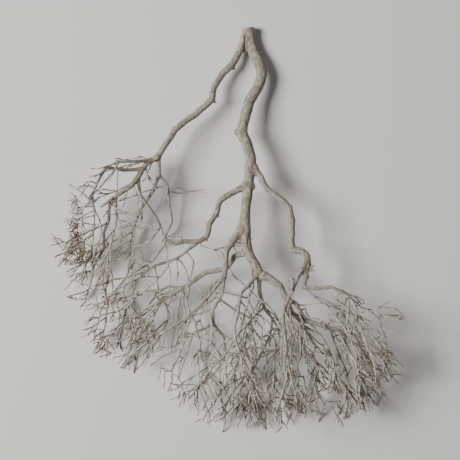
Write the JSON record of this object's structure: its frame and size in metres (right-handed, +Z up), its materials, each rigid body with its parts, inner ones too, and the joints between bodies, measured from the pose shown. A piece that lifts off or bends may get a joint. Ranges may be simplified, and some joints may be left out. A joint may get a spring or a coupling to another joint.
{
  "type": "branch",
  "caption": "Dead, weathered shrub branch lying as cut: a thick trunk with a thin second arm from one butt, both spreading into a wide, shallow fan of fine zigzag twigs.",
  "frame": {"origin": "middle of the branch's box, on the surface that it lies on", "axes": "+Z up from the surface, +Y along the branch from the twig tips towards the cut end, +X to the right as seen from above"},
  "size_m": [0.7107, 0.8154, 0.1864],
  "materials": {
    "bark": "dry, weathered, matt grey-beige bark"
  },
  "bodies": {
    "root": {"branch": "bark"}
  },
  "joints": []
}
